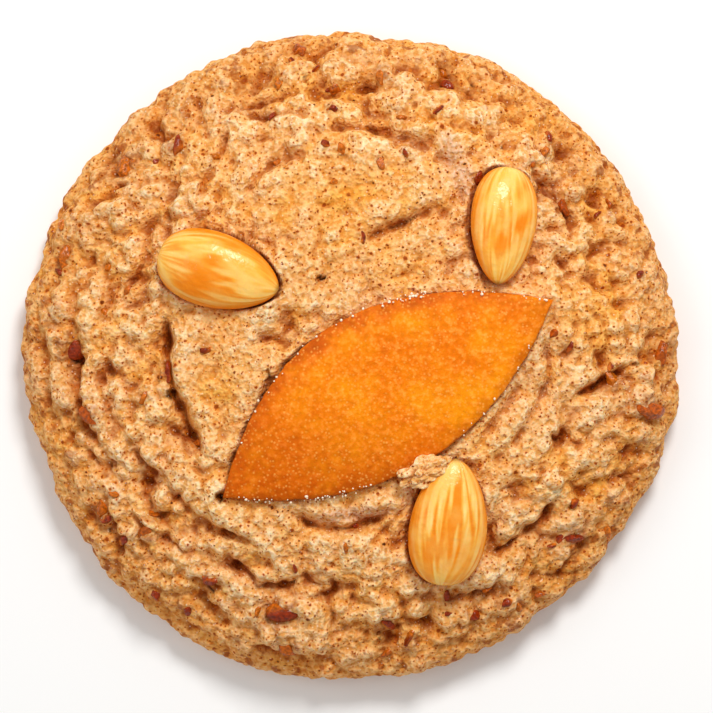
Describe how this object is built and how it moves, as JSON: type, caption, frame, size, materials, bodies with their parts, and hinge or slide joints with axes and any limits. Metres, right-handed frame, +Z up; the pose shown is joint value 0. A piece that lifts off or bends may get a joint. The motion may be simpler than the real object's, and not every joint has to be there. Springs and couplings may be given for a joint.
{
  "type": "lebkuchen",
  "caption": "Round spiced nut biscuit with a craggy baked crust, topped with blanched almonds and a pointed leaf of candied orange; lies flat on its underside.",
  "frame": {"origin": "middle of the bounding box on the flat underside that the biscuit rests on", "axes": "+Z up out of the decorated top; the leaf runs 31 degrees from +X towards +Y, and -Y is the side nearest the viewer"},
  "size_m": [0.1216, 0.1196, 0.024],
  "materials": {
    "baked_dough": "baked nut dough, matt and grainy, browner in its cracks, with red-brown specks and chips of nut skin",
    "blanched_almond": "blanched and baked almond, smooth with a soft gloss and fine lengthwise ridges",
    "candied_orange": "candied orange, fine-grained and faintly sugared, browner along its edge"
  },
  "bodies": {
    "root": {"dough": "baked_dough", "almond_left": "blanched_almond", "almond_right": "blanched_almond", "almond_lower": "blanched_almond", "orange_leaf": "candied_orange"}
  },
  "joints": []
}
